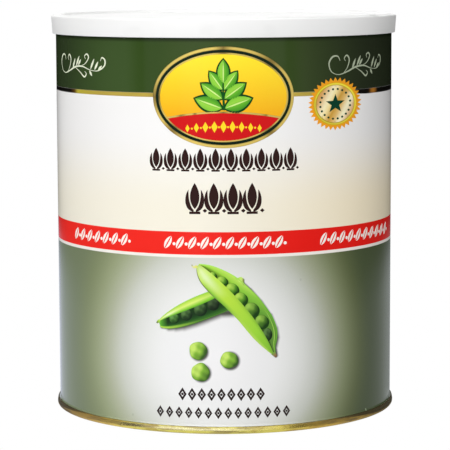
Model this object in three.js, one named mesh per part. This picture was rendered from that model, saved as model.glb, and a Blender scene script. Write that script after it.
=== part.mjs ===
// A large shut food can, 603 x 700 trade size, with its white press-on plastic overcap.
// Millimetres, +Z up, the origin at the middle of the foot, the front of the label facing -Y.
//
// Three pieces: the tinplate body (shut, so one solid), the lacquered bottom end that is
// rolled on to it with a double seam, and the overcap that is pushed down over the top.

import * as THREE from 'three';

// ---- driving dimensions ----

const SIDES = 88;             // flats round every turned piece
const GAP = 0.3;              // clearance between pieces that touch

const CAN_HEIGHT = 177.8;     // foot of the bottom seam to the top of the body, 7 inches
const BODY_R = 77.4;          // printed wall of the body

const SEAM_R = 78.6;          // outside of the rolled bottom seam
const SEAM_HEIGHT = 3.1;      // depth of the rolled hook
const SEAM_WIDTH = 2.6;       // the seam across, from its outside to the countersink
const SEAM_ROUND = 0.7;       // rounding of the seam's foot and shoulder
const PANEL_UP = 4.2;         // how far the end's panel stands above the foot
const PANEL_THICK = 1.1;      // tinplate end with its raised beads, as one skin
const BEAD_RISE = 0.9;        // expansion beads pressed in the end's panel
const BEAD_RINGS = [66, 54];  // outer radius of each bead
const BEAD_WIDTH = 5;

const FLARE_HEIGHT = 2.6;     // the wall swells into the seam over this height
const FLARE_R = 78.2;         // wall at the top of the seam

const LID_HEIGHT = 181.1;     // foot of the can to the crest of the overcap
const SKIRT_FOOT = 172.4;     // height of the overcap's lower edge
const SKIRT_FOOT_R = 78.95;   // outside of the skirt at its lower edge
const SKIRT_TOP_R = 79.5;     // outside of the skirt at the shoulder
const SHOULDER_Z = 179.4;     // where the skirt starts to round over
const LEDGE_Z = 180.35;       // the step outside the stacking ring
const LEDGE_R = 77.9;
const RING_CREST_R = 76.5;    // middle of the raised stacking ring
const RING_INNER_R = 75.1;    // where the ring falls to the panel
const PANEL_Z = 179.95;       // top of the overcap's flat panel

// ---- helpers ----

// A turned piece from its half section, listed anticlockwise as [radius, height].
function turned(section) {
  const points = section.map(([r, z]) => new THREE.Vector2(r, z));
  const geometry = new THREE.LatheGeometry(points, SIDES);
  geometry.rotateX(Math.PI / 2);
  return geometry;
}

function piece(name, geometry, color, roughness, metalness) {
  const material = new THREE.MeshStandardMaterial({ color, roughness, metalness });
  const mesh = new THREE.Mesh(geometry, material);
  mesh.name = name;
  return mesh;
}

// Points on a quarter round, from one angle to another in degrees.
function arc(centreR, centreZ, radius, from, to, steps) {
  const points = [];
  for (let i = 0; i <= steps; i += 1) {
    const a = THREE.MathUtils.degToRad(from + ((to - from) * i) / steps);
    points.push([centreR + radius * Math.cos(a), centreZ + radius * Math.sin(a)]);
  }
  return points;
}

// ---- body ----

const endTop = PANEL_UP + PANEL_THICK + BEAD_RISE;
const countersinkR = SEAM_R - SEAM_WIDTH;

const bodySection = [
  [0, endTop + GAP],
  [countersinkR + GAP, endTop + GAP],
  [countersinkR + GAP, SEAM_HEIGHT + GAP],
  [FLARE_R, SEAM_HEIGHT + GAP],
  [(FLARE_R + BODY_R) / 2, SEAM_HEIGHT + GAP + FLARE_HEIGHT * 0.45],
  [BODY_R, SEAM_HEIGHT + GAP + FLARE_HEIGHT],
  [BODY_R, CAN_HEIGHT - 1],
  [BODY_R - 1, CAN_HEIGHT],
  [0, CAN_HEIGHT],
];

// ---- bottom end ----

// The panel is one pressed skin: every bead on its underside shows on top as well.
const under = [[0, PANEL_UP]];
const over = [[0, PANEL_UP + PANEL_THICK]];
for (const outer of [...BEAD_RINGS].reverse()) {
  const inner = outer - BEAD_WIDTH;
  const steps = [[inner, 0], [inner + 1.2, BEAD_RISE], [outer - 1.2, BEAD_RISE], [outer, 0]];
  for (const [r, rise] of steps) {
    under.push([r, PANEL_UP + rise]);
    over.push([r, PANEL_UP + PANEL_THICK + rise]);
  }
}

const endSection = [
  ...under,
  [countersinkR - 1.6, PANEL_UP],
  [countersinkR - 0.9, PANEL_UP - 0.8],
  [countersinkR - 0.9, SEAM_ROUND],
  ...arc(countersinkR - 0.9 + SEAM_ROUND, SEAM_ROUND, SEAM_ROUND, 225, 270, 1),
  ...arc(SEAM_R - SEAM_ROUND, SEAM_ROUND, SEAM_ROUND, 270, 360, 3),
  ...arc(SEAM_R - SEAM_ROUND, SEAM_HEIGHT - SEAM_ROUND, SEAM_ROUND, 0, 90, 3),
  [countersinkR, SEAM_HEIGHT],
  [countersinkR, PANEL_UP + PANEL_THICK],
  ...over.reverse(),
];

// ---- overcap ----

const skirtInnerR = BODY_R + GAP + 0.05;
const lidUnder = CAN_HEIGHT + GAP;

const lidSection = [
  [0, lidUnder],
  [skirtInnerR, lidUnder],
  [skirtInnerR, SKIRT_FOOT + 0.4],
  [skirtInnerR + 0.3, SKIRT_FOOT],
  [SKIRT_FOOT_R - 0.25, SKIRT_FOOT],
  [SKIRT_FOOT_R, SKIRT_FOOT + 0.3],
  [SKIRT_TOP_R, SHOULDER_Z],
  [SKIRT_TOP_R - 0.22, SHOULDER_Z + 0.5],
  [SKIRT_TOP_R - 0.75, SHOULDER_Z + 0.85],
  [LEDGE_R, LEDGE_Z],
  [RING_CREST_R + 0.9, LID_HEIGHT - 0.2],
  [RING_CREST_R + 0.4, LID_HEIGHT],
  [RING_CREST_R - 0.4, LID_HEIGHT],
  [RING_INNER_R + 0.35, LID_HEIGHT - 0.3],
  [RING_INNER_R, PANEL_Z + 0.15],
  [RING_INNER_R - 0.5, PANEL_Z],
  [0, PANEL_Z],
];

// ---- the can ----

const can = new THREE.Group();
can.add(piece('can_body', turned(bodySection), 0xf1eee2, 0.3, 0.1));
can.add(piece('bottom_end', turned(endSection), 0xc9a846, 0.3, 0.9));
can.add(piece('overcap', turned(lidSection), 0xf2f2ee, 0.45, 0.0));

export default can;
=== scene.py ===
from math import asin, cos, hypot, pi, radians, sin, sqrt

import bmesh
import bpy
from mathutils import Matrix, Vector


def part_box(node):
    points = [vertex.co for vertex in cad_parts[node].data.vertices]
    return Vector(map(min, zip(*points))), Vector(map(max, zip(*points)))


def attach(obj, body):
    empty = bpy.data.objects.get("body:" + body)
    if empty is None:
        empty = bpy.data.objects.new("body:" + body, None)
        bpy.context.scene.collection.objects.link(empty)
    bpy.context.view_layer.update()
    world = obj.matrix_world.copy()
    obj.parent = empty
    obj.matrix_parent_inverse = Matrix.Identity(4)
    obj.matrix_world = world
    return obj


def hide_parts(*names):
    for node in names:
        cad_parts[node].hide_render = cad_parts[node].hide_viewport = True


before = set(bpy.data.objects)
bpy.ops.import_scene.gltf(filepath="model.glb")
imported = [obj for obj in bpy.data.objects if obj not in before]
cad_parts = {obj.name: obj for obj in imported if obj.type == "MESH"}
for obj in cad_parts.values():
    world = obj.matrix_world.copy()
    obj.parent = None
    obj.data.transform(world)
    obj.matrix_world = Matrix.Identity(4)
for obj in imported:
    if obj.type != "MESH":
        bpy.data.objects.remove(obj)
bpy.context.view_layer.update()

MM = 0.001


# ---------------------------------------------------------------------------------------
# Can body. One sheet of tinplate, printed flat, rolled into a tube and welded down the
# back, then flared at its foot where the bottom end is rolled on. It is shut, so it is
# built as a solid, and its plain top is under the overcap.
# ---------------------------------------------------------------------------------------


def in_mm(length):
    """A length of the CAD model in mm."""
    return round(length / MM, 2)


WALL_R = 77.4
CAN_TOP = in_mm(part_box("can_body")[1].z)
FLARE_R = 77.85
FLARE_FOOT = 3.17
FLARE_HEAD = 3.85
UNDER_R = 76.2
UNDER_Z = 6.6


def either_way(operation):
    """The two methods of an operator: with the socket on its left, and on its right."""
    return (
        lambda self, other: self.maths(operation, self, other),
        lambda self, other: self.maths(operation, other, self),
    )


class Sock:
    """One output of a node. Arithmetic on it adds Math nodes to its tree."""

    def __init__(self, tree, out):
        self.tree, self.out = tree, out

    def __getitem__(self, name):
        return Sock(self.tree, pick(self.out.node.outputs, name))

    def maths(self, operation, *terms):
        return self.tree.node("ShaderNodeMath", dict(enumerate(terms)), operation=operation)

    __add__, __radd__ = either_way("ADD")
    __sub__, __rsub__ = either_way("SUBTRACT")
    __mul__, __rmul__ = either_way("MULTIPLY")
    __truediv__, __rtruediv__ = either_way("DIVIDE")
    __pow__, __rpow__ = either_way("POWER")

    def __abs__(self):
        return self.maths("ABSOLUTE", self)

    def least(self, other):
        return self.maths("MINIMUM", self, other)

    def most(self, other):
        return self.maths("MAXIMUM", self, other)


def pick(sockets, key):
    """The enabled socket with this name, or this number among the enabled ones."""
    enabled = [s for s in sockets if s.enabled]
    if isinstance(key, int):
        return enabled[key]
    return next(s for s in enabled if s.name == key)


class Tree:
    """A node tree being written, one call of node() for each node."""

    def __init__(self, tree):
        self.tree = tree

    def node(self, kind, sockets=None, out=0, **settings):
        """Adds a node with its settings, then the values or links of its sockets."""
        made = self.tree.nodes.new(kind)
        for name, value in settings.items():
            if name == "ramp":
                stops = made.color_ramp.elements
                while len(stops) < len(value):
                    stops.new(1.0)
                for stop, (place, colour) in zip(stops, value):
                    stop.position = place
                    stop.color = (*colour, 1.0)
            else:
                setattr(made, name, value)
        for name, value in (sockets or {}).items():
            socket = pick(made.inputs, name)
            for one in value if isinstance(value, list) else [value]:
                if isinstance(one, Sock):
                    self.tree.links.new(one.out, socket)
                else:
                    socket.default_value = one
        return Sock(self, pick(made.outputs, out))


def step(x, start, end):
    """0 at the start and before it, 1 at the end and past it, smooth between them."""
    limits = {"Value": x, "From Min": min(start, end), "From Max": max(start, end)}
    if start > end:
        limits.update({"To Min": 1.0, "To Max": 0.0})
    return x.tree.node("ShaderNodeMapRange", limits, interpolation_type="SMOOTHSTEP")


def mixed(factor, under, over, mode="MIX"):
    """One colour over another by a factor. Each may be a socket or plain numbers."""
    tree = next(v for v in (factor, under, over) if isinstance(v, Sock)).tree
    under, over = [(*c, 1.0) if isinstance(c, tuple) else c for c in (under, over)]
    sockets = {"Factor": factor, "A": under, "B": over}
    return tree.node("ShaderNodeMix", sockets, data_type="RGBA", blend_type=mode)


def vectors(operation, a, b):
    """Vector maths on two sockets."""
    return a.tree.node("ShaderNodeVectorMath", {0: a, 1: b}, operation=operation)


def ink(red, green, blue):
    """A print colour given in screen values, 0 to 255, as the light it sends back."""
    shares = (red / 255, green / 255, blue / 255)
    return tuple(v / 12.92 if v <= 0.04045 else ((v + 0.055) / 1.055) ** 2.4 for v in shares)


def inks(*stops):
    """Print colours at places along a blend, each given as place, red, green and blue."""
    return [(place, ink(*colour)) for place, *colour in stops]


def nodes_group(name, **inputs):
    """A Geometry Nodes group with a mesh in, a mesh out and the named inputs."""
    group = bpy.data.node_groups.new(name, "GeometryNodeTree")
    face = group.interface
    face.new_socket("Mesh", in_out="INPUT", socket_type="NodeSocketGeometry")
    for label, kind in inputs.items():
        face.new_socket(label, in_out="INPUT", socket_type="NodeSocket" + kind)
    face.new_socket("Mesh", in_out="OUTPUT", socket_type="NodeSocketGeometry")
    tree = Tree(group)
    return group, tree, tree.node("NodeGroupInput")


def closing(tree, mesh, material):
    """Ends a Geometry Nodes group: instances made real, the material on, and out."""
    mesh = tree.node("GeometryNodeRealizeInstances", {"Geometry": mesh})
    mesh = tree.node("GeometryNodeSetMaterial", {"Geometry": mesh, "Material": material})
    end = tree.tree.nodes.new("NodeGroupOutput")
    tree.tree.links.new(mesh.out, end.inputs["Mesh"])


def added(name, mesh):
    """A new object of the scene with this mesh."""
    thing = bpy.data.objects.new(name, mesh)
    bpy.context.scene.collection.objects.link(thing)
    return thing


def shaped(name, mesh, group, **values):
    """Runs a Geometry Nodes group on a mesh and keeps the result as a plain mesh piece."""
    seed = added(name + "_seed", mesh)
    modifier = seed.modifiers.new("shape", "NODES")
    modifier.node_group = group
    sockets = {s.name: s.identifier for s in group.interface.items_tree if s.in_out == "INPUT"}
    for label, value in values.items():
        modifier[sockets[label]] = value
    seed.update_tag()
    graph = bpy.context.evaluated_depsgraph_get()
    made = bpy.data.meshes.new_from_object(seed.evaluated_get(graph), depsgraph=graph)
    bpy.data.objects.remove(seed)
    made.name = name
    skin = bmesh.new()
    skin.from_mesh(made)
    bmesh.ops.recalc_face_normals(skin, faces=skin.faces)
    skin.to_mesh(made)
    skin.free()
    return added(name, made)


def line_mesh(name, points, **numbers):
    """A chain of points as a mesh, with any numbers for each point as attributes."""
    mesh = bpy.data.meshes.new(name)
    edges = [(i, i + 1) for i in range(len(points) - 1)]
    mesh.from_pydata([(x * MM, y * MM, 0.0) for x, y in points], edges, [])
    for label, values in numbers.items():
        mesh.attributes.new(label, "FLOAT", "POINT").data.foreach_set("value", list(values))
    return mesh


def attribute(tree, name, kind="FLOAT"):
    """What each point of a mesh carries under a name."""
    return tree.node("GeometryNodeInputNamedAttribute", {"Name": name}, data_type=kind)


def stored(tree, mesh, name, value, kind="FLOAT", domain="POINT"):
    """The mesh with a value kept under a name."""
    sockets = {"Geometry": mesh, "Name": name, "Value": value}
    return tree.node("GeometryNodeStoreNamedAttribute", sockets, data_type=kind, domain=domain)


def baking_map(tree, mesh, flat):
    """Keeps a flat place for every corner of the mesh as its map for painting."""
    mesh = stored(tree, mesh, "flat", flat, "FLOAT_VECTOR")
    mesh = stored(tree, mesh, "OFBake", attribute(tree, "flat", "FLOAT_VECTOR"), "FLOAT2", "CORNER")
    return tree.node("GeometryNodeRemoveAttribute", {"Geometry": mesh, "Name": "flat"})


def welded(tree, mesh, distance):
    """The mesh with its points joined where they are closer than a distance in metres."""
    return tree.node("GeometryNodeMergeByDistance", {"Geometry": mesh, "Distance": distance})


CREASE = radians(38)


def smoothed(tree, mesh):
    """Smooth shading, with the edges sharper than a crease left sharp."""
    bend = tree.node("GeometryNodeInputMeshEdgeAngle", out="Unsigned Angle")
    limits = {0: bend, 1: CREASE}
    sharp = tree.node("FunctionNodeCompare", limits, data_type="FLOAT", operation="GREATER_THAN")
    sockets = {"Geometry": mesh, "Shade Smooth": True}
    mesh = tree.node("GeometryNodeSetShadeSmooth", sockets, domain="FACE")
    sockets = {"Geometry": mesh, "Selection": sharp, "Shade Smooth": False}
    return tree.node("GeometryNodeSetShadeSmooth", sockets, domain="EDGE")


def round_the_axis(tree, mesh, radius, angle, height):
    """Moves each point to a radius and height, turned round the can's axis from its front."""
    x = radius * angle.maths("SINE", angle)
    y = 0 - radius * angle.maths("COSINE", angle)
    spot = tree.node("ShaderNodeCombineXYZ", {"X": x, "Y": y, "Z": height})
    return tree.node("GeometryNodeSetPosition", {"Geometry": mesh, "Position": spot})


# Every turned piece is its half section, its corners rounded, swept round the can's axis.
SIDES = 256
CORNER_STEPS = 5
TURNED_WELD = 1e-6
turned, t, given = nodes_group(
    "turned", Sides="Int", Steps="Int", Flatness="Float", Material="Material"
)
# The corners are rounded, and each point of the section keeps how far along it lies.
chain = t.node("GeometryNodeMeshToCurve", {"Mesh": given["Mesh"]})
fillet = {"Count": given["Steps"], "Radius": attribute(t, "round"), "Limit Radius": True}
chain = t.node("GeometryNodeFilletCurve", {"Curve": chain, **fillet}, mode="POLY")
section = t.node("GeometryNodeCurveToPoints", {"Curve": chain}, mode="EVALUATED")
many = t.node(
    "GeometryNodeAttributeDomainSize", {"Geometry": section}, "Point Count", component="POINTCLOUD"
)
index = t.node("GeometryNodeInputIndex")
here = t.node("GeometryNodeInputPosition")
last = {"Value": here, "Index": (index - 1).most(0)}
last = t.node("GeometryNodeFieldAtIndex", last, data_type="FLOAT_VECTOR", domain="POINT")
run = t.node("ShaderNodeSeparateXYZ", {"Vector": vectors("SUBTRACT", here, last)})
length = (run["X"] * run["X"] * given["Flatness"] + run["Y"] * run["Y"]) ** 0.5
sums = t.node("GeometryNodeAccumulateField", {"Value": length}, data_type="FLOAT", domain="POINT")
section = stored(t, section, "along", sums["Leading"] / sums["Total"])
# A grid with a row for each point of the section and a column for each step round the axis
# is moved on to the swept shape, and its edges are joined down the back.
counts = {"Vertices X": given["Sides"] + 1, "Vertices Y": many}
grid = t.node("GeometryNodeMeshGrid", {"Size X": 1.0, "Size Y": 1.0, **counts})
column = index.maths("FLOOR", (index + 0.5) / many)
row = index - column * many


def from_section(kind, value):
    """What the section's point on this row of the grid carries."""
    sockets = {"Geometry": section, "Value": value, "Index": row}
    return t.node("GeometryNodeSampleIndex", sockets, data_type=kind, domain="POINT")


place = t.node("ShaderNodeSeparateXYZ", {"Vector": from_section("FLOAT_VECTOR", here)})
share = column / given["Sides"]
flat = {"X": share, "Y": from_section("FLOAT", attribute(t, "along"))}
mesh = baking_map(t, grid, t.node("ShaderNodeCombineXYZ", flat))
mesh = round_the_axis(t, mesh, place["X"], (share - 0.5) * (2 * pi), place["Y"])
closing(t, smoothed(t, welded(t, mesh, TURNED_WELD)), given["Material"])


def turned_piece(name, corners, material, node, flatness=1.0):
    """A turned piece from its half section: corners as (radius, height, rounding) in mm.
    The flatness is how much of its map for painting its level faces take."""
    points, rounding = [c[:2] for c in corners], [c[2] * MM for c in corners]
    values = {"Sides": SIDES, "Steps": CORNER_STEPS, "Flatness": flatness, "Material": material}
    section = line_mesh(name + "_section", points, round=rounding)
    piece = shaped(name, section, turned, **values)
    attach(piece, "root")
    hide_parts(node)


def new_material(name):
    """A new material with a Principled shader, and its tree."""
    material = bpy.data.materials.new(name)
    material.use_nodes = True
    return material, Tree(material.node_tree)


def surface(tree, colour, roughness, normal, metallic=0.0, specular=0.5):
    """Feeds the tree's shader: links for what varies, its own sockets for what is even."""
    shader = tree.tree.nodes["Principled BSDF"].inputs
    feeds = {"Base Color": colour, "Roughness": roughness, "Normal": normal}
    feeds.update({"Metallic": metallic, "Specular IOR Level": specular})
    for name, value in feeds.items():
        if isinstance(value, Sock):
            tree.tree.links.new(value.out, shader[name])
        else:
            shader[name].default_value = value


def coordinates(tree):
    """A point's place on the object, as a vector and as its separate axes."""
    spot = tree.node("ShaderNodeTexCoord", out="Object")
    return spot, tree.node("ShaderNodeSeparateXYZ", {"Vector": spot})


def around(axes):
    """How far round from the front a point is, in radians."""
    return axes.maths("ARCTAN2", axes["X"], 0 - axes["Y"])


def length_of(x, y):
    """The length of a line that goes so far along one axis and so far along another."""
    return (x * x + y * y) ** 0.5


def speckle(spot, scale, detail):
    """Soft random values about 0.5. The greater the scale, the smaller the spots."""
    sockets = {"Vector": spot, "Scale": scale, "Detail": detail}
    return spot.tree.node("ShaderNodeTexNoise", sockets)


def mottle(tree, size, detail=2.0):
    """Fine unevenness, about 0.5, over spots of the given size in mm."""
    return speckle(coordinates(tree)[0], 1 / (size * MM), detail)


def bumped(tree, height, depth):
    """A normal from a height between 0 and 1 that stands for a depth in mm."""
    return tree.node("ShaderNodeBump", {"Strength": 1.0, "Distance": depth * MM, "Height": height})


# Heights of the printed fields, and lengths round the wall from the middle of its front.
LID_FOOT = in_mm(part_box("overcap")[0].z)
GREEN_FOOT = 148.65
GOLD_FOOT = 146.85
RED_HEAD = 88.75
RED_FOOT = 78.8
LOWER_HEAD = 77.5
EDGE = 0.12
BACK_START = 120
BACK_END = 205
WELD_START = 238.7
WELD_LINE = 242.5
VARNISH_SHINE = 0.12
VARNISH_GLOSS = 0.12
FINE_GRAIN = 0.5
TOP_SHARE = 0.0025

printed_tin, m = new_material("printed_tin")
_, axes = coordinates(m)
arc = around(axes) * WALL_R
height = axes["Z"] / MM
on_wall = (arc, height)
behind = step(abs(arc), BACK_START, BACK_END)


def above(level):
    """1 above a level of the wall and 0 below it."""
    return step(height, level - EDGE, level + EDGE)


def toned(tone, *blends):
    """A field's ink, blended round the wall to others, each from a start to an end in mm."""
    for start, end, other in blends:
        tone = mixed(step(arc, start, end), tone, other)
    return tone


# The upper field fades from white under the green band to cream over the red one. The inks
# are painted deeper towards the right as shade, and the two sides come to one tone at the back.
cream = toned(ink(236, 231, 215), (-10, 75, ink(241, 229, 201)))
cream = mixed(behind, cream, ink(239, 230, 208))
upper = mixed(step(height, 134, 97), ink(236, 235, 234), cream)

# The lower field is olive with a white glow behind the picture that fades out all round.
GLOW_ACROSS = -2.6
GLOW_UP = 32.8
GLOW_REACH = 84.0
GLOW_CORE = 22.0
GLOW_ABOVE = 1.1
GLOW_BELOW = 0.9
GLOW_TONES = inks(
    (0.0, 236, 235, 236), (0.24, 231, 231, 231), (0.45, 228, 229, 226), (0.55, 224, 226, 219),
    (0.64, 212, 215, 192), (0.74, 200, 208, 164), (0.86, 183, 190, 126),
)
up = height - GLOW_UP
tall = up.most(0.0) / GLOW_ABOVE + up.least(0.0) / GLOW_BELOW
away = length_of(arc - GLOW_ACROSS, tall)
# The olive is painted darker towards the right, as shade.
olive = toned(ink(113, 124, 95), (-40, 60, ink(73, 84, 57)))
olive = mixed(behind, olive, ink(93, 104, 76))
bright = m.node("ShaderNodeValToRGB", {"Fac": away / GLOW_REACH}, ramp=GLOW_TONES)
lower = mixed(step(away, GLOW_REACH, GLOW_CORE), olive, bright)


def near_stroke(place, start, end, core, reach):
    """1 near a straight stroke between two points, fading from a core to a reach in mm."""
    (x, y), (x0, y0), (x1, y1) = place, start, end
    long = max(hypot(x1 - x0, y1 - y0), 0.01)
    over, rise = (x1 - x0) / long, (y1 - y0) / long
    run = ((x - x0) * over + (y - y0) * rise).most(0.0).least(long)
    return step(length_of(x - (run * over + x0), y - (run * rise + y0)), reach, core)


# Soft grey shadows under the printed pods and peas, down to their right. Each point of a
# shadow has its reach.
POD_SHADOW = (
    (8, 66.2, 0.9), (11, 63.4, 1.2), (15.4, 58.3, 1.4), (19.9, 51.8, 1.5), (22.3, 46.0, 1.8),
    (22.9, 42.0, 2.0), (22.0, 38.0, 2.0), (22.6, 34.2, 1.5),
)
SHELL_SHADOW = (
    (-27.8, 46.8, 1.2), (-24.8, 46.5, 1.5), (-21.6, 46.9, 2.3), (-18, 47.6, 2.9),
    (-13, 49.2, 3.2), (-8, 51.1, 3.2), (-2, 53.4, 3.1), (3.4, 53.6, 2.9),
)
PEA_SHADOWS = ((-11.2, 36.2), (2.4, 32.3), (-10.1, 26.8))
shadow = 0.0
for chain in (POD_SHADOW, SHELL_SHADOW):
    for (*start, _), (*end, reach) in zip(chain, chain[1:]):
        shadow = near_stroke(on_wall, start, end, 0.3, reach).most(shadow)
for spot in PEA_SHADOWS:
    shadow = shadow.most(near_stroke(on_wall, spot, spot, 3.4, 4.8))
lower = mixed(shadow * 0.94, lower, ink(56, 56, 42))

# The green band is painted darker towards its sides and under the overcap, as shade, and
# painted deeper in the middle to offset the reflection of the cards in front.
GREEN_BLENDS = (
    (-31, -20, ink(68, 86, 46)), (-6, 78, ink(39, 46, 31)), (-50, -95, ink(46, 59, 35)),
)
green = toned(ink(59, 80, 41), *GREEN_BLENDS)
# Painted deeper in the middle, to offset the reflection of the cards in front.
green = mixed(step(abs(arc + 4), 42, 31) * 0.6, green, ink(42, 65, 15))
green = mixed(behind, green, ink(43, 54, 33))
# Painted shade of the overcap's skirt over the top of the band.
green = mixed(step(height, LID_FOOT - 2.2, LID_FOOT - 0.7) * 0.8, green, ink(26, 34, 18))

# The fields are laid over each other from the foot up, with a pale line under the red band.
print_coat = mixed(above(LOWER_HEAD), lower, ink(238, 233, 226))
# The red is painted a little darker towards the right, as shade.
red = toned(ink(234, 44, 36), (-20, 40, ink(226, 32, 26)))
for level, field in ((RED_FOOT, red), (RED_HEAD, upper), (GREEN_FOOT, green)):
    print_coat = mixed(above(level), print_coat, field)

# The gold rule is printed with dark stretches and dark edges, as a bent strip of metal
# would look. Each tone has its place round the wall. Its foot is a little lower at the right.
GOLD_INK = ink(228, 200, 104)
OLD_GOLD = ink(112, 90, 44)
BLACKENED = ink(16, 14, 9)
RULE_GOLD = ink(197, 172, 76)
AMBER = ink(196, 128, 44)
RULE_REACH = 150.0
RULE_DROP = 0.4
RULE_TONES = (
    (-142, RULE_GOLD), (-122, BLACKENED), (-84, BLACKENED), (-80, ink(96, 64, 24)),
    (-77, ink(204, 188, 62)), (-60, RULE_GOLD), (-36, RULE_GOLD), (-31, ink(180, 154, 68)),
    (-25, BLACKENED), (-14, BLACKENED), (0, RULE_GOLD), (62, RULE_GOLD), (66, BLACKENED),
    (76, BLACKENED), (79, AMBER), (81, AMBER), (84, BLACKENED), (122, BLACKENED),
    (142, RULE_GOLD),
)
stops = [((x + RULE_REACH) / (2 * RULE_REACH), tone) for x, tone in RULE_TONES]
rule = m.node("ShaderNodeValToRGB", {"Fac": (arc + RULE_REACH) / (2 * RULE_REACH)}, ramp=stops)
rule_edge = abs((height - (GREEN_FOOT + GOLD_FOOT) / 2) / (GREEN_FOOT - GOLD_FOOT) * 2)
rule = mixed(step(rule_edge, 0.6, 1.6), rule, (0.3, 0.28, 0.2), "MULTIPLY")
rule_foot = height + step(arc, 64, 74) * RULE_DROP
foil = step(rule_foot, GOLD_FOOT - EDGE, GOLD_FOOT + EDGE) * (1 - above(GREEN_FOOT))
print_coat = mixed(foil, print_coat, rule)

# Three small flaws in the print: two grey specks and a pale nick at the foot of the wall.
# Each is a short upright mark, given by its foot, its height and its tone.
FLAWS = (
    (-42.9, 6.2, 0.3, ink(146, 154, 136)),
    (34.3, 66.7, 0.3, ink(158, 162, 152)),
    (74.3, 3.6, 0.4, ink(178, 196, 160)),
)
for x, y, tall, tone in FLAWS:
    flaw = near_stroke(on_wall, (x, y), (x, y + tall), 0.1, 0.6)
    print_coat = mixed(flaw * 0.55, print_coat, tone)

# The margin left bare for the weld, with the dull line of the weld down its middle.
bare = step(abs(arc), WELD_START - EDGE, WELD_START + EDGE)
weld = step(abs(arc), WELD_LINE - 0.2, WELD_LINE + 0.1)
print_coat = mixed(bare, print_coat, mixed(weld, (0.62, 0.61, 0.58), (0.3, 0.29, 0.28)))

# One coat of varnish lies over the print, glossy and faintly wavy.
fine = mottle(m, FINE_GRAIN)
waves = mottle(m, 14.0, 1.0)
surface(
    m,
    mixed(0.035, print_coat, fine, "OVERLAY"),
    VARNISH_SHINE + waves * 0.05 + foil.most(bare) * 0.16 + weld * 0.2,
    bumped(m, waves + fine * 0.02, 0.05),
    metallic=(foil * 0.3).most(bare * 0.9),
    specular=VARNISH_GLOSS,
)

BODY_SECTION = (
    (0, UNDER_Z, 0), (UNDER_R, UNDER_Z, 0), (UNDER_R, FLARE_FOOT, 0), (FLARE_R, FLARE_FOOT, 0.1),
    (WALL_R, FLARE_HEAD, 0.5), (WALL_R, CAN_TOP, 1.0), (0, CAN_TOP, 0),
)
turned_piece(
    "can_body_print", BODY_SECTION, printed_tin, "can_body", TOP_SHARE
)


# ---------------------------------------------------------------------------------------
# Pods and peas. The picture on the lower field, printed in glossy inks: an open pod lies
# over a second one, with three loose peas. Each ink stands a hair proud of the wall.
# ---------------------------------------------------------------------------------------

INK_FIRST = 0.03
INK_STEP = 0.012
INK_DEPTH = 0.5
INK_WELD = 1e-7

# Flat artwork is set on points along and up the wall, given its depth and bent round it.
inking, t, given = nodes_group(
    "inking", Motif="Object", Depth="Float", Wall="Float", Material="Material"
)
motif = t.node("GeometryNodeObjectInfo", {"Object": given["Motif"]}, "Geometry")
turn = {"Axis": (0, 0, 1), "Angle": attribute(t, "turn")}
turn = t.node("FunctionNodeAxisAngleToRotation", turn)
size = attribute(t, "size")
size = t.node("ShaderNodeCombineXYZ", {"X": size, "Y": size, "Z": 1.0})
places = {"Points": given["Mesh"], "Instance": motif, "Rotation": turn, "Scale": size}
face_up = t.node("GeometryNodeInstanceOnPoints", places)
face_up = t.node("GeometryNodeRealizeInstances", {"Geometry": face_up})
face_up = welded(t, face_up, INK_WELD)
inwards = t.node("ShaderNodeCombineXYZ", {"Z": -1.0})
sunk = {"Offset": inwards, "Offset Scale": given["Depth"], "Individual": False}
sunk = t.node("GeometryNodeExtrudeMesh", {"Mesh": face_up, **sunk}, mode="FACES")
mesh = t.node("GeometryNodeJoinGeometry", {"Geometry": [face_up, sunk]})
mesh = welded(t, mesh, INK_WELD)
here = t.node("GeometryNodeInputPosition")
box = t.node("GeometryNodeBoundBox", {"Geometry": mesh})
reach = vectors("SUBTRACT", box["Max"], box["Min"])
mesh = baking_map(t, mesh, vectors("DIVIDE", vectors("SUBTRACT", here, box["Min"]), reach))
axes = t.node("ShaderNodeSeparateXYZ", {"Vector": here})
wall = given["Wall"]
mesh = round_the_axis(t, mesh, axes["Z"] + wall, axes["X"] / wall, axes["Y"])
closing(t, smoothed(t, mesh), given["Material"])


class Art:
    """Flat printed shapes in mm. The level is how many inks lie under the next shape."""

    def __init__(self, level=0):
        self.points, self.faces, self.tints, self.level = [], [], [], level

    def patch(self, place, ink_at, across, along):
        """A grid of faces: place(u, v) is a point of it and ink_at(u, v) the ink there."""
        first = len(self.points)
        lift = INK_FIRST + INK_STEP * self.level
        for row in range(along + 1):
            for column in range(across + 1):
                u, v = column / across, row / along
                x, y = place(u, v)
                self.points.append((x * MM, y * MM, lift * MM))
                self.tints += (*(ink_at(u, v) if callable(ink_at) else ink_at), 1.0)
        for row in range(along):
            for column in range(across):
                near = first + row * (across + 1) + column
                far = near + across + 1
                self.faces.append((near, near + 1, far + 1, far))

    def print_on(self, name, material, places=((0, 0, 0, 1),)):
        """Puts the shapes on the wall as one piece, at each (arc, height, turn, size)."""
        mesh = bpy.data.meshes.new(name + "_motif")
        mesh.from_pydata(self.points, [], self.faces)
        tint = mesh.attributes.new("tint", "FLOAT_COLOR", "POINT")
        tint.data.foreach_set("color", self.tints)
        motif = added(name + "_motif", mesh)
        x, y, turn, size = zip(*places)
        spots = line_mesh(name + "_places", list(zip(x, y)), turn=turn, size=size)
        values = {"Depth": INK_DEPTH * MM, "Wall": WALL_R * MM, "Material": material}
        piece = shaped(name, spots, inking, Motif=motif, **values)
        bpy.data.objects.remove(motif)
        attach(piece, "root")


def bezier(a, b, c, d):
    """A smooth curve from a to d, drawn towards b and c."""

    def path(v):
        w = 1 - v
        shares = w**3, 3 * w * w * v, 3 * w * v * v, v**3
        return tuple(sum(k * p[i] for k, p in zip(shares, (a, b, c, d))) for i in (0, 1))

    return path


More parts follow.
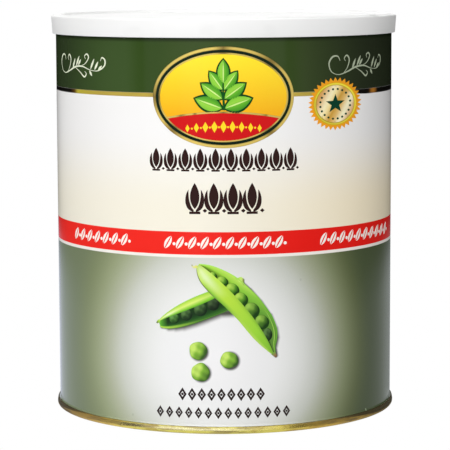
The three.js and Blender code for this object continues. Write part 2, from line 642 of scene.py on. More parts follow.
def through(*points):
    """A smooth curve that passes through the given points, evenly from one to the next."""

    def path(v):
        place = v * (len(points) - 1)
        k = min(int(place), len(points) - 2)
        t = place - k
        a, b, c, d = (points[min(max(k + j, 0), len(points) - 1)] for j in (-1, 0, 1, 2))
        return tuple(
            b[i]
            + 0.5 * t * (c[i] - a[i])
            + t * t * (a[i] - 2.5 * b[i] + 2 * c[i] - 0.5 * d[i])
            + t**3 * (1.5 * (b[i] - c[i]) + 0.5 * (d[i] - a[i]))
            for i in (0, 1)
        )

    return path


def between(one, other):
    """Points across from one curve to another."""

    def place(u, v):
        return toward(one(v), other(v), u)

    return place


def toward(a, b, share):
    """A point or colour that is a share of the way from one to another."""
    return tuple(p + (q - p) * share for p, q in zip(a, b))


def along_path(path, width):
    """Points of a stroke along a path, its width a number or a function along it."""

    def place(u, v):
        (x0, y0), (x1, y1) = path(max(v - 0.01, 0)), path(min(v + 0.01, 1))
        x, y = path(v)
        long = max(hypot(x1 - x0, y1 - y0), 1e-6)
        side = (u - 0.5) * (width(v) if callable(width) else width)
        return x - side * (y1 - y0) / long, y + side * (x1 - x0) / long

    return place


def disc(x, y, wide, tall=None):
    """Points of a disc or an oval: u goes round and v out from the middle."""
    tall = tall or wide
    return lambda u, v: (x + wide * v * cos(2 * pi * u), y + tall * v * sin(2 * pi * u))


def blend(place, stops):
    """The colour at a place between (place, colour) stops."""
    for (start, a), (end, b) in zip(stops, stops[1:]):
        if place <= end:
            return toward(a, b, min(max((place - start) / (end - start), 0), 1))
    return stops[-1][1]


def lengthwise(*stops):
    """Ink that changes only along a shape, from print colours as for inks()."""
    stops = inks(*stops)
    return lambda u, v: blend(v, stops)


def hump(x, middle, reach):
    """1 at the middle, falling evenly to 0 at a reach from it."""
    return max(0.0, 1 - abs(x - middle) / reach)


def round_pea(light, middle, dark, ripple=0.12, phase=0.0, lean=(-0.5, 0.6)):
    """Ink for a disc that is to look like a pea lit from the upper left, a little dimpled."""
    stops = inks((-0.3, *dark), (0.45, *middle), (0.98, *light))

    def ink_at(u, v):
        x, y = v * cos(2 * pi * u), v * sin(2 * pi * u)
        lit = 0.62 * sqrt(max(1 - v * v, 0)) + lean[0] * x + lean[1] * y
        lit += ripple * sin(5.2 * x + 2.2 * y + phase) * cos(4.1 * y - 1.4 * x + 2 * phase)
        return blend(lit + 0.22 * ripple * hump(v, 0.86, 0.14), stops)

    return ink_at


def ink_material(name, grain, roughness, depth, metallic, gloss):
    """Ink or foil whose colour comes with each shape, with a fine grain over it."""
    material, tree = new_material(name)
    tint = tree.node("ShaderNodeAttribute", out="Color", attribute_name="tint")
    fine = mottle(tree, FINE_GRAIN)
    colour = mixed(grain, tint, fine, "OVERLAY")
    rough = roughness[0] + fine * roughness[1]
    surface(tree, colour, rough, bumped(tree, fine, depth), metallic, gloss)
    return material


# Inks for pictures lie under the same varnish as the wall.
picture_ink = ink_material(
    "picture_ink", 0.05, (VARNISH_SHINE + 0.01, 0.04), 0.002, 0.0, VARNISH_GLOSS
)

# The open pod in front: its near shell, the gape with its peas, and its far shell.
NEAR_SHELL = through(
    (-12.3, 73.8), (-11.8, 70.8), (-10.5, 67.5), (-7.9, 64.1), (-4.3, 60.3), (0.4, 55.8),
    (5.9, 50.1), (10.8, 44), (14.6, 39.9), (18.9, 36.1), (21.7, 33.9),
)
GAPE = bezier((-10.9, 74.6), (-3, 69.4), (15, 52.4), (21.9, 34.2))
FAR_SHELL = through(
    (-11.2, 74.7), (-6.6, 74.2), (-1.0, 72.2), (5.0, 68.9), (10.5, 64.1), (14.5, 60.1),
    (17.6, 56), (20.4, 52), (22.2, 48), (23.0, 44.6), (22.8, 41.3), (22.1, 38.6), (22.1, 36.2),
    (22.5, 34),
)
STALK = bezier((-14.2, 74.5), (-14.2, 73.5), (-13.2, 73.0), (-12.0, 73.9))
POD_TIP = bezier((21.2, 35.4), (21.8, 34.6), (22.2, 34.0), (22.9, 33.4))

# The pod behind: its upper shell, its gape, the rim of its lower shell, its blunt end and
# the two sides of its calyx, which shows past the far shell of the pod in front.
UPPER_SHELL = bezier((-30.0, 48.9), (-25.5, 54.6), (-14.5, 60.6), (-3.5, 64.0))
UPPER_GAPE = bezier((-29.5, 48.9), (-24, 52.0), (-12, 55.6), (-2, 61.2))
LOWER_RIM = bezier((-28.9, 46.9), (-25, 45.0), (-10, 49.7), (3.4, 55.6))
SHELL_TIP = bezier((-30.4, 48.2), (-30.2, 48.6), (-29.9, 48.9), (-29.1, 49.3))
CALYX = (
    bezier((4.4, 68.6), (5.8, 68.5), (6.4, 69.3), (7.4, 69.1)),
    bezier((8.5, 65.4), (8.4, 66.4), (8.7, 67.2), (8.5, 68.2)),
)

NEAR_TONES = inks(
    (0.0, 176, 208, 84), (0.1, 208, 232, 128), (0.22, 192, 228, 88), (0.34, 188, 224, 72),
    (0.5, 176, 216, 66), (0.75, 152, 208, 60), (0.9, 132, 190, 54), (1.0, 104, 150, 56),
)
NEAR_UNDER = inks(
    (0.34, 122, 190, 54), (0.5, 112, 172, 54), (0.62, 172, 212, 84), (0.8, 184, 214, 104)
)
NEAR_OVER = inks((0.6, 104, 158, 50), (1, 74, 116, 44))
INNER_TONES = inks(
    (0, 146, 214, 60), (0.15, 158, 214, 66), (0.25, 158, 212, 68), (0.33, 142, 204, 62),
    (0.42, 130, 192, 60), (0.53, 104, 166, 54), (0.63, 88, 136, 50), (1, 90, 128, 56),
)
INNER_RIM = inks((0.26, 184, 222, 92), (0.4, 138, 196, 66), (0.6, 98, 150, 56), (1, 98, 138, 60))
INNER_SHADE = [(0.0, (0.16,)), (0.3, (0.5,)), (0.5, (0.96,)), (1.0, (1.0,))]
UPPER_TONES = inks(
    (0.0, 142, 204, 58), (0.25, 194, 228, 88), (0.5, 216, 234, 122), (0.8, 140, 204, 54),
    (1.0, 90, 170, 38),
)
UPPER_END = ink(128, 196, 44)
GAPE_TONES = inks((0, 26, 56, 20), (0.45, 24, 50, 20), (0.72, 32, 70, 26), (1, 62, 118, 42))
GAPE_END = inks((0, 116, 196, 64), (0.07, 78, 150, 46))
RIM_NEAR = inks((0, 96, 160, 44), (0.4, 192, 228, 84), (1, 120, 186, 58))
RIM_FAR = inks((0, 40, 82, 26), (0.4, 88, 142, 50), (1, 52, 96, 34))
CALYX_TONES = inks((0, 150, 210, 66), (0.6, 206, 232, 120), (1.2, 44, 58, 40))


def glinting(tone, share):
    """A tone with some white light on it."""
    return tuple(c + (1 - c) * share for c in tone)


def near_ink(u, v):
    """The near shell: pale where light catches it by the stalk, then a fresh yellow green."""
    tone = blend(v, NEAR_TONES)
    under = blend(v, [(0.2, tone), *NEAR_UNDER])
    over = toward(tone, blend(v, [(0.3, tone), *NEAR_OVER]), 0.5)
    tone = blend(u, [(0, under), (0.28, tone), (0.74, tone), (1, over)])
    return glinting(tone, 0.42 * hump(u, 0.45, 0.4) * hump(v, 0.2, 0.24))


def inner_ink(u, v):
    """The inside of the far shell: shaded by the gape, with a light rim."""
    tone = blend(u, [(0.5, blend(v, INNER_TONES)), (0.9, blend(v, INNER_RIM))])
    (shade,) = blend(u, INNER_SHADE)
    return tuple(c * shade for c in tone)


def upper_ink(u, v):
    """The upper shell of the pod behind, u running down from its top to its gape."""
    tone = blend(u, UPPER_TONES)
    tone = blend(v, [(0.7, tone), (1.0, toward(tone, UPPER_END, 0.5))])
    return glinting(tone, 0.45 * hump(v, 0.25, 0.2) * hump(u, 0.5, 0.35))


def gape_ink(u, v):
    """The inside of the pod behind: in shade under its upper shell, lighter at its blunt end."""
    return blend(v, [*GAPE_END, (0.2, blend(u, GAPE_TONES))])


def rim_ink(u, v):
    """The edge of the lower shell: bright at its blunt end, going into shade under the pod."""
    return blend(v, [(0.1, blend(u, RIM_NEAR)), (0.65, blend(u, RIM_FAR))])


def calyx_ink(u, v):
    """The calyx, pale towards its far corner and dark at it."""
    return blend(u + 0.3 * v, CALYX_TONES)


def loose_pea(x, y, wide, tall, phase):
    """Points of a pea that isn't quite round."""
    flat = disc(x, y, wide, tall)

    def place(u, v):
        a, b = flat(u, v)
        swell = 0.03 * sin(6 * pi * u + phase) + 0.025 * sin(10 * pi * u + 2 * phase)
        return a + (a - x) * swell, b + (b - y) * swell

    return place


FRESH = round_pea((176, 214, 84), (88, 148, 40), (28, 68, 18))
DEEP = round_pea((150, 194, 78), (74, 120, 38), (26, 58, 18))
SHADED = round_pea((100, 150, 74), (56, 100, 38), (20, 46, 18), 0.22, 0.8)
HIDDEN = round_pea((88, 124, 66), (42, 68, 34), (18, 36, 16), 0.22, 0.8)
DEEPEST = round_pea((68, 92, 54), (36, 52, 30), (16, 30, 14), 0.22, 0.8)
PEA_SHADE = ink(24, 62, 14)
PEA_DROP = 0.5

# Each pea is given by its place, its radius and its ink. The last one in the pod is an oval,
# and each loose one has both its radii and a phase for its bumps.
REAR_PEAS = (
    (-22.3, 50.6, 2.3, SHADED), (-16.8, 52.4, 2.6, HIDDEN), (-10.6, 54.9, 2.95, HIDDEN),
    (-5.0, 57.2, 2.7, DEEPEST),
)
PEAS = (
    (-5.2, 69.9, 1.5, FRESH), (-1.2, 67.2, 2.35, FRESH), (3.1, 63.7, 2.8, FRESH),
    (6.9, 59.6, 2.8, FRESH), (11.6, 54.7, 3.2, DEEP), (16.1, 49.4, 2.95, DEEP),
)
LAST_PEA = (18.7, 43.5, 2.2, 2.9)
LOOSE_TONES = ((196, 226, 106), (126, 176, 56), (56, 90, 36))
LOOSE_PEAS = (
    (-11.7, 36.7, 3.9, 4.0, 0.6), (1.8, 32.7, 3.95, 3.65, 2.0), (-10.7, 27.2, 4.1, 4.1, 3.6)
)

# The picture is laid down from the back: the pod behind, the far shell, its peas, the near
# shell, and then the tips and the loose peas.
pods = Art()
pods.patch(between(UPPER_GAPE, LOWER_RIM), gape_ink, 8, 30)
pods.level += 1
for x, y, r, tones in REAR_PEAS:
    pods.patch(disc(x, y, r), tones, 28, 6)
pods.level += 1
pods.patch(between(UPPER_SHELL, UPPER_GAPE), upper_ink, 8, 24)
lower_rim = along_path(LOWER_RIM, lambda v: 0.55 + 0.75 * sin(pi * min(v * 1.25, 1)))
pods.patch(lower_rim, rim_ink, 4, 28)
pods.level += 1
inside = between(GAPE, FAR_SHELL)
pods.patch(inside, inner_ink, 12, 30)
pods.patch(between(*CALYX), calyx_ink, 4, 5)
pods.level += 1
edge_ink = lengthwise((0.2, 172, 226, 92), (0.5, 104, 176, 52), (1, 92, 150, 50))
pods.patch(along_path(FAR_SHELL, 0.45), edge_ink, 2, 40)
fold = along_path(lambda v: inside(0.86, 0.5 + 0.46 * v), lambda v: 0.34 * sin(pi * v) ** 0.6)
pods.patch(fold, ink(156, 208, 82), 2, 30)
for x, y, r, _ in PEAS:
    pods.patch(disc(x + PEA_DROP, y - PEA_DROP, r), PEA_SHADE, 28, 4)
pods.level += 1
for x, y, r, tones in PEAS:
    pods.patch(disc(x, y, r), tones, 28, 6)
pods.patch(disc(*LAST_PEA), HIDDEN, 28, 6)
outline = along_path(lambda v: NEAR_SHELL(0.03 + 0.42 * v), lambda v: 0.8 * sin(pi * v) ** 0.5)
pods.patch(outline, ink(112, 128, 76), 2, 16)
pods.level += 1
pods.patch(between(NEAR_SHELL, GAPE), near_ink, 10, 36)
pods.level += 1
stalk_ink = lengthwise((0, 120, 130, 96), (0.3, 222, 222, 166), (1, 226, 224, 96))
pods.patch(along_path(STALK, lambda v: 0.4 + 0.9 * v), stalk_ink, 3, 8)
tip_ink = lengthwise((0, 116, 160, 66), (0.6, 146, 112, 78), (1, 92, 70, 56))
pods.patch(along_path(POD_TIP, lambda v: 2.1 - 1.2 * v), tip_ink, 3, 5)
blunt_ink = lengthwise((0, 50, 60, 36), (1, 176, 216, 84))
pods.patch(along_path(SHELL_TIP, lambda v: 0.6 + 0.9 * v), blunt_ink, 3, 5)
for *pea, phase in LOOSE_PEAS:
    tones = round_pea(*LOOSE_TONES, 0.24, phase, (-0.66, 0.4))
    pods.patch(loose_pea(*pea, phase), tones, 40, 9)
pods.print_on("pods_and_peas_print", picture_ink)


# ---------------------------------------------------------------------------------------
# Emblem. An oval badge over the foot of the green band: a dark disc in a gold rim, with a
# sprig of leaves on yellow above a red foot. The rim and the fine lines are gold foil.
# ---------------------------------------------------------------------------------------

BADGE_X = -0.25
BADGE_Z = 146.9
RIM = (31.2, 21.8)
RIM_WIDTH = 1.35
RIM_LAP = 0.9
INNER_LINE = (28.6, 19.2)
INNER_WIDTH = 0.7
FIELD = (28.0, 18.6)
RED_REACH = 24.6
FOOT_Z = 137.5
FOOT_BOW = 3
BOW_REACH = 27
FOOT_WIDTH = 0.75
CHIP_Z = 132.1
CHIP_BOW = 2.2
CHIP_APART = 3.9
CHIP = (2.8, 5.0)
CHIP_DOT_BOW = 2.1
CHIP_DOT_R = 0.45
YELLOW = ink(252, 216, 44)
DULL_SPOTS = ((0.13, 0.05), (0.25, 0.02), (0.5, 0.06), (0.62, 0.04), (0.87, 0.03))
FIELD_TONES = inks((-0.6, 242, 168, 30), (0.9, 255, 228, 52))

gold_foil = ink_material("gold_foil", 0.08, (0.26, 0.06), 0.003, 0.3, 0.2)


def foil_ink(u, v):
    """Gold that is brighter along its middle and sinks to old gold in a few places."""
    dull = max(hump(v, place, reach) for place, reach in DULL_SPOTS)
    shade = 0.62 + 0.42 * sin(pi * u)
    return tuple(shade * c for c in toward(GOLD_INK, OLD_GOLD, 0.85 * dull))


def rim(x, y, wide, tall, width):
    """Points of a round or oval rim: u goes inwards from its outer edge, v round it."""

    def place(u, v):
        turn = 2 * pi * v
        return x + (wide - width * u) * cos(turn), y + (tall - width * u) * sin(turn)

    return place


def bow(x):
    """How far a low arch across the badge has risen, 1 at its middle."""
    return 1 - (x / BOW_REACH) ** 2


def foot_line(v):
    """The top edge of the red foot, a low arch across the field."""
    x = RED_REACH * (2 * v - 1)
    return BADGE_X + x, FOOT_Z + FOOT_BOW * bow(x)


def foot_edge(v):
    """The lower edge of the field under the foot line."""
    x = RED_REACH * (2 * v - 1)
    return BADGE_X + x, BADGE_Z - FIELD[1] * sqrt(1 - (x / FIELD[0]) ** 2)


def field_ink(u, v):
    """Yellow, deeper towards the foot."""
    return blend(v * sin(2 * pi * u), FIELD_TONES)


def moved(place, x, y, turn=0.0, size=1.0):
    """The points of a shape turned, sized and moved to a spot."""

    def spot(u, v):
        a, b = place(u, v)
        over, rise = cos(turn) * size, sin(turn) * size
        return x + a * over - b * rise, y + a * rise + b * over

    return spot


def pointed(long, wide):
    """Points of a leaf shape from the middle of its foot to its tip."""
    side = (long * 0.25, wide * 0.66), (long * 0.65, wide * 0.66), (long, 0)
    return between(bezier((0, 0), *((x, -y) for x, y in side)), bezier((0, 0), *side))


def lozenge(wide, tall):
    """Points of a lozenge about its middle."""
    return lambda u, v: (wide * (u + v - 1) / 2, tall * (v - u) / 2)


badge = Art()
ground = disc(BADGE_X, BADGE_Z, RIM[0] - RIM_LAP, RIM[1] - RIM_LAP)
badge.patch(ground, ink(22, 38, 27), 120, 18)
badge.level += 1
badge.patch(disc(BADGE_X, BADGE_Z, *FIELD), field_ink, 110, 17)
badge.level += 1
badge.patch(between(foot_edge, foot_line), ink(206, 28, 30), 6, 40)
badge.level += 1
for k in range(-4, 5):
    x = k * CHIP_APART
    chip = moved(lozenge(*CHIP), BADGE_X + x, CHIP_Z + CHIP_BOW * bow(x), 0, bow(x))
    badge.patch(chip, YELLOW, 2, 2)
    if k < 4:
        dot = disc(BADGE_X + x + CHIP_APART / 2, CHIP_Z + CHIP_DOT_BOW * bow(x), CHIP_DOT_R)
        badge.patch(dot, YELLOW, 10, 1)
badge.print_on("emblem_print", picture_ink)

foil_lines = Art(level=1)
foil_lines.patch(rim(BADGE_X, BADGE_Z, *RIM, RIM_WIDTH), foil_ink, 4, 120)
foil_lines.level += 1
foil_lines.patch(rim(BADGE_X, BADGE_Z, *INNER_LINE, INNER_WIDTH), foil_ink, 2, 110)
foil_lines.level += 1
foil_lines.patch(along_path(foot_line, FOOT_WIDTH), foil_ink, 2, 40)
foil_lines.print_on("emblem_foil", gold_foil)

# One leaf, with a dark outline and a pale rib, is printed again for each on the sprig: one
# at the tip and three pairs, each pair given by its height, its lean and its size.
LEAF_TONES = inks((0, 66, 146, 40), (0.5, 112, 188, 52), (0.5, 160, 214, 76), (1, 128, 200, 60))
PAIRS = ((142.0, 20, 1.22), (146.0, 36, 1.1), (149.8, 54, 0.95))
sprig = Art(level=3)
sprig.patch(pointed(11.4, 6.4), ink(20, 70, 30), 6, 12)
sprig.level += 1
sprig.patch(moved(pointed(10.0, 4.9), 0.6, 0), lambda u, v: blend(u, LEAF_TONES), 6, 12)
sprig.level += 1
sprig.patch(moved(pointed(9.0, 0.55), 0.7, 0), ink(206, 236, 140), 2, 10)
leaves = [(BADGE_X, 152.5, pi / 2, 1.0)]
for z, lean, size in PAIRS:
    leaves += [(BADGE_X, z, radians(a), size) for a in (lean, 180 - lean)]
sprig.print_on("emblem_leaves_print", picture_ink, leaves)

STEM = bezier((BADGE_X, 141.4), (BADGE_X + 0.4, 145), (BADGE_X - 0.3, 150), (BADGE_X, 153))
stem = Art(level=6)
stem.patch(along_path(STEM, lambda v: 1.2 - 0.6 * v), ink(24, 84, 34), 2, 10)
stem.print_on("emblem_stem_print", picture_ink)


# ---------------------------------------------------------------------------------------
# Seal. A round gold seal with an orange toothed edge, printed over the right-hand end of
# the gold rule. It is drawn wider round the wall so that it looks round from the front.
# ---------------------------------------------------------------------------------------

SEAL_ACROSS = 48.6
SEAL_STRETCH = 1.05
SEAL_Z = 142.9
SEAL_R = 11.6
TEETH = 34
TEETH_FOOT = 10.0
RING_R = 9.3
RING_WIDTH = 1.2
STAR = (5, 4.3, 1.75)
DOTS = 20
DOTS_R = 6.5
DOT_R = 0.48
SEAL_INK = ink(16, 62, 44)
SEAL_GOLD = inks(
    (-0.9, 214, 160, 92), (-0.45, 250, 240, 196), (-0.25, 246, 226, 160), (0.05, 206, 156, 62),
    (0.3, 226, 186, 110), (0.62, 252, 248, 210), (0.95, 222, 176, 124),
)
RING_GOLD = inks((0, 214, 182, 8), (0.45, 248, 232, 84), (1, 176, 146, 10))


def from_front(place):
    """Flat points about the seal's middle, stretched round the wall."""

    def spot(u, v):
        x, y = place(u, v)
        return WALL_R * asin((SEAL_ACROSS + x * SEAL_STRETCH) / WALL_R), SEAL_Z + y

    return spot


def star(points, tip, valley):
    """Points of a star about its middle: u goes round and v out."""

    def corner(k):
        reach, turn = (tip, valley)[k % 2], pi * (0.5 + k / points)
        return reach * cos(turn), reach * sin(turn)

    def place(u, v):
        k = min(int(u * 2 * points), 2 * points - 1)
        return tuple(v * c for c in toward(corner(k), corner(k + 1), u * 2 * points - k))

    return place


def seal_gold(u, v):
    """Printed gold with two pale bands slanting across it."""
    x, y = v * cos(2 * pi * u), v * sin(2 * pi * u)
    return blend(0.9 * x - 0.45 * y, SEAL_GOLD)


def ring_gold(u, v):
    """The seal's bright ring, lit on one side, u going inwards."""
    lit = 0.78 + 0.3 * (0.5 + 0.5 * sin(2 * pi * v + 0.9))
    return tuple(c * lit for c in blend(u, RING_GOLD))


seal = Art()
seal.patch(from_front(star(TEETH, SEAL_R, TEETH_FOOT)), ink(238, 160, 38), 2 * TEETH, 8)
seal.level += 1
seal.patch(from_front(rim(0, 0, RING_R, RING_R, RING_WIDTH)), ring_gold, 4, 72)
seal.patch(from_front(disc(0, 0, RING_R - RING_WIDTH)), seal_gold, 64, 9)
seal.level += 2
seal.patch(from_front(star(*STAR)), SEAL_INK, 40, 5)
for k in range(DOTS):
    turn = 2 * pi * (k + 0.5) / DOTS
    dot = disc(DOTS_R * cos(turn), DOTS_R * sin(turn), DOT_R)
    seal.patch(from_front(dot), SEAL_INK, 12, 1)
seal.print_on("seal_print", picture_ink)


# ---------------------------------------------------------------------------------------
# Flourishes. A pale scroll with small leaves on the green band at each side of the front,
# one drawing printed twice, the right-hand one painted greyer, as shade.
# ---------------------------------------------------------------------------------------

SCROLL_Z = 159
# The right-hand scroll's ink is painted greyer, as shade.
SCROLLS = ((-76, ink(228, 234, 208)), (68.5, ink(172, 182, 156)))
SWASH = through(
    (-13.2, 2.6), (-14.6, 4.6), (-17.6, 4.4), (-19.6, 1.6), (-18.2, -2.0), (-14, -3.4),
    (-8.5, -2.2), (-3, -0.4), (3, 0.0), (9, -1.4), (14.5, -1.6), (18.6, 0.6), (19, 3.2),
    (17.2, 4.2), (16.2, 2.8),
)
CURLS = (
    through((-11.5, -3.2), (-8.6, -0.4), (-7.4, 3.0), (-9.0, 4.9), (-10.6, 3.6), (-9.8, 2.4)),
    through((-3.2, -0.6), (1.2, -2.6), (4.6, -4.6), (6.2, -3.2), (5.0, -2.2)),
    through((1.8, 0.1), (5.6, 1.4), (8.0, 4.0), (6.8, 5.5), (5.0, 4.6), (5.7, 3.3)),
)
LEAVES = (
    (-5.4, -1.0, 62, 5.0), (-2.2, 0.0, 58, 5.4), (9.4, -1.0, 60, 5.4), (12.2, -1.3, 56, 4.6),
    (8.6, -1.7, -52, 3.0), (14.6, -1.4, 40, 3.4), (-0.4, 0.4, 48, 3.6),
)
swash = along_path(SWASH, lambda v: 0.26 + 0.5 * abs(sin(3 * pi * v)) ** 1.5)
curls = [along_path(curl, lambda v: 0.22 + 0.45 * sin(pi * v) ** 2) for curl in CURLS]
leaves = [moved(pointed(long, 1.15), x, y, radians(lean)) for x, y, lean, long in LEAVES]
flourish = Art()
for middle, pale in SCROLLS:
    for level, (strokes, steps) in enumerate((([swash], 84), (curls, 30), (leaves, 8))):
        flourish.level = level
        for stroke in strokes:
            flourish.patch(moved(stroke, middle, SCROLL_Z), pale, 2, steps)
flourish.print_on("flourishes_print", picture_ink)


# ---------------------------------------------------------------------------------------
# Title rows. Two rows of dark brown buds in the place of a heading, the lower row larger.
# ---------------------------------------------------------------------------------------

# Each row: its middle, its height, how many there are, how far apart, and their size.
TITLE_ROWS = ((-0.4, 120.0, 10, 6.62, 1.0), (-0.4, 103.3, 4, 8.3, 1.35))
DARK = ink(50, 32, 30)


def in_rows(rows, turn=0.0):
    """Places for rows of like shapes, evenly apart round the wall."""
    return [
        (middle + (k - (count - 1) / 2) * apart, height, turn, size)
        for middle, height, count, apart, size in rows
        for k in range(count)
    ]


bud = Art()
bud.patch(moved(pointed(8.4, 3.1), 0, -3.4, pi / 2), DARK, 3, 10)
for side in (-1, 1):
    outer = bezier((0.35 * side, -4.3), (3.6 * side, -3.9), (3.7 * side, 0.6), (2.0 * side, 2.9))
    inner = bezier((0.35 * side, -3.7), (1.6 * side, -2.6), (2.1 * side, 0.2), (2.0 * side, 2.9))
    bud.patch(between(outer, inner), DARK, 3, 10)
bud.patch(moved(lozenge(1.5, 1.3), 3.3, -3.9), DARK, 2, 2)
bud.level += 1
bud.patch(lambda u, v: (3.6 * (u - 0.5), -5.0 + 0.8 * v), DARK, 3, 1)
bud.print_on("title_rows_print", picture_ink, in_rows(TITLE_ROWS))


# ---------------------------------------------------------------------------------------
# Leaf chains. Three chains of white split leaves on the red band, each with a dot at its
# foot, leaning to the right.
# ---------------------------------------------------------------------------------------

CHAINS = ((-63.1, 83.9, 7, 5.45, 1.15), (-0.5, 83.9, 10, 5.45, 1.15), (70.5, 83.9, 10, 5.45, 1.15))
CHAIN_LEAN = radians(60)
WHITE = ink(246, 238, 230)
leaf = Art()
for side in (-1, 1):
    outer = bezier((-2.5, 0.16 * side), (-1.2, 1.5 * side), (1.0, 1.7 * side), (2.8, 0.16 * side))
    inner = bezier((-2.5, 0.14 * side), (-1.2, 0.28 * side), (1.0, 0.3 * side), (2.8, 0.14 * side))
    leaf.patch(between(outer, inner), WHITE, 2, 8)
leaf.patch(disc(0.9, -2.35, 0.62), WHITE, 14, 1)
leaf.print_on("leaf_chains_print", picture_ink, in_rows(CHAINS, CHAIN_LEAN))


# ---------------------------------------------------------------------------------------
# Lozenge rows. Two rows of dark lozenges under the picture, the lower one longer. Each is
# an outline with a dot in it.
# ---------------------------------------------------------------------------------------

LOZENGE_ROWS = ((-1.6, 17.4, 9, 4.3, 1.18), (-0.8, 9.2, 14, 4.35, 1.06))
CORNERS = ((-1.6, 0), (0, -2.45), (1.6, 0), (0, 2.45))
HOLE = 0.45
UMBER = ink(50, 40, 38)


def outline_side(a, b):
    """One side of an outlined lozenge: u along it, and v in from its edge to its hole."""
    return lambda u, v: tuple(c * (1 - (1 - HOLE) * v) for c in toward(a, b, u))


chip = Art()
for a, b in zip(CORNERS, CORNERS[1:] + CORNERS[:1]):
    chip.patch(outline_side(a, b), UMBER, 2, 1)
chip.patch(disc(0, 0, 0.5), UMBER, 10, 1)
chip.print_on("lozenge_rows_print", picture_ink, in_rows(LOZENGE_ROWS))


# ---------------------------------------------------------------------------------------
# Bottom end. A round tinplate pressing with gold lacquer, its panel sunk and stiffened
# with rings. Its rim is curled with the foot of the body and rolled flat: a double seam.
# ---------------------------------------------------------------------------------------

SEAM_R = in_mm(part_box("bottom_end")[1].x)
SEAM_TOP = 3.1
SEAM_WIDTH = 2.6
CHUCK_R = 75.1
PANEL_Z = 4.2
PANEL_SKIN = 1.1
BEADS = (66, 54)
BEAD_WIDTH = 5.0
BEAD_RISE = 0.9
BEAD_SLOPE = 1.2

# Places up the seam are heights in mm, and places round it are in radians from the front.
gold_lacquer, m = new_material("gold_lacquer")
spot, axes = coordinates(m)
radius = length_of(axes["X"], axes["Y"]) / MM
on_rim = step(radius, CHUCK_R + 0.6, CHUCK_R + 2.2)
turn = around(axes)
round_it = abs(turn + 0.12)
up = axes["Z"] / MM
rise = step(up, 0.6, 2.8)


def streaks(squash, scale, detail):
    """Random streaks that run round the rim: spots squashed so many times in height."""
    squashed = m.node("ShaderNodeMapping", {"Vector": spot, "Scale": (1, 1, squash)})
    return speckle(squashed, scale, detail)


# The rim is rubbed and stained, in streaks that run round it. The panel inside it touches
# nothing and is cleaner.
worn = speckle(spot, 26, 1)
rolled = streaks(14, 85, 3)
rubbed = step(abs(up - 1.2), 0.5, 0.15) * step(worn, 0.42, 0.56) * step(rolled, 0.4, 0.55) * on_rim
stain = step(streaks(3, 120, 3), 0.5, 0.68) * (0.15 + on_rim * 0.85)
scuff = step(streaks(3, 420, 4), 0.56, 0.68) * step(worn, 0.42, 0.6) * (0.2 + on_rim * 0.8)
# Painted light: the seam is yellower at the front, where the light falls.
front = step(round_it, 0.8, 0.25) * on_rim
# A painted highlight in a pale band along the front of the seam.
painted_highlight = step(up, 1.2, 1.9) * step(up, 3.1, 2.4) * step(abs(turn + 0.22), 0.62, 0.05)
# Painted shade darkens the seam and the groove over it, most of it at the two sides.
painted_shade = step(round_it, 0.45, 1.08) * (0.25 + rise * 0.55)
groove_shade = step(up + step(round_it, 0.7, 1.3) * 1.7, 2.3, 3.2)
painted_shade = painted_shade.most(groove_shade * (0.22 + step(round_it, 0.4, 1.0) * 0.74))
painted_shade = painted_shade * (1 - step(round_it, 1.7, 2.4) * 0.6) * on_rim
# Over the plain lacquer each coat is laid on the one before: how much shows, and its tone.
# The yellower front and the highlight are painted light; the bronze sides and the last coat
# are painted shade.
LACQUER = (0.78, 0.55, 0.1)
COATS = (
    (front, (0.82, 0.71, 0.16)),
    (painted_highlight * on_rim * 0.7, (0.93, 0.89, 0.6)),
    # Painted shade: deeper bronze at the sides.
    (step(round_it, 0.4, 0.8) * on_rim * 0.7, (0.66, 0.4, 0.09)),
    (step(rolled, 0.5, 0.62) * on_rim * 0.6, (0.36, 0.26, 0.12)),
    (stain * 0.6, (0.46, 0.28, 0.06)),
    (scuff * 0.3, (0.16, 0.12, 0.07)),
    (rubbed * 0.6, (0.18, 0.12, 0.06)),
    (painted_shade, (0.03, 0.026, 0.012)),
)
lacquer = LACQUER
for share, tone in COATS:
    lacquer = mixed(share, lacquer, tone)
relief = rolled * on_rim * 1.5 - scuff + mottle(m, 1.2) * (1 - on_rim * 0.8)
surface(
    m,
    lacquer,
    0.24 + stain * 0.1 + scuff * 0.2 + painted_shade * 0.35,
    bumped(m, relief, 0.02),
    metallic=0.9 - painted_shade * 0.8,
    specular=0.2,
)

panel = []
for outer in reversed(BEADS):
    inner = outer - BEAD_WIDTH
    crown = (inner + BEAD_SLOPE, BEAD_RISE), (outer - BEAD_SLOPE, BEAD_RISE)
    panel += [(inner, 0), *crown, (outer, 0)]
END_SECTION = (
    (0, PANEL_Z, 0),
    *((r, PANEL_Z + rise, 0.8) for r, rise in panel),
    (CHUCK_R - 0.6, PANEL_Z, 0.6), (CHUCK_R, 0, 0.5), (SEAM_R - 0.05, 0, 0.9),
    (SEAM_R, 1.3, 1.0), (SEAM_R - 0.3, SEAM_TOP, 0.5), (SEAM_R - SEAM_WIDTH, SEAM_TOP, 0.2),
    (SEAM_R - SEAM_WIDTH, PANEL_Z + PANEL_SKIN, 0.3),
    *((r, PANEL_Z + rise + PANEL_SKIN, 0.8) for r, rise in reversed(panel)),
    (0, PANEL_Z + PANEL_SKIN, 0),
)
turned_piece(
    "bottom_end_gold", END_SECTION, gold_lacquer, "bottom_end"
)


# ---------------------------------------------------------------------------------------
# Overcap. A thin white plastic moulding pushed down over the shut can to keep it closed
# once opened: a drawn-in skirt, a small ledge, a stacking ring and a flat sunken panel.
# ---------------------------------------------------------------------------------------

LID_TOP = in_mm(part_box("overcap")[1].z)
LID_INNER_R = 77.75
LID_UNDER = CAN_TOP + 0.3
LID_FOOT_R = 78.95
LID_SHOULDER = (79.5, 180.55)
LID_LEDGE = (77.9, 180.72)
RING_TOP = (75.5, 77.2)
LID_PANEL = (75.0, 179.95)

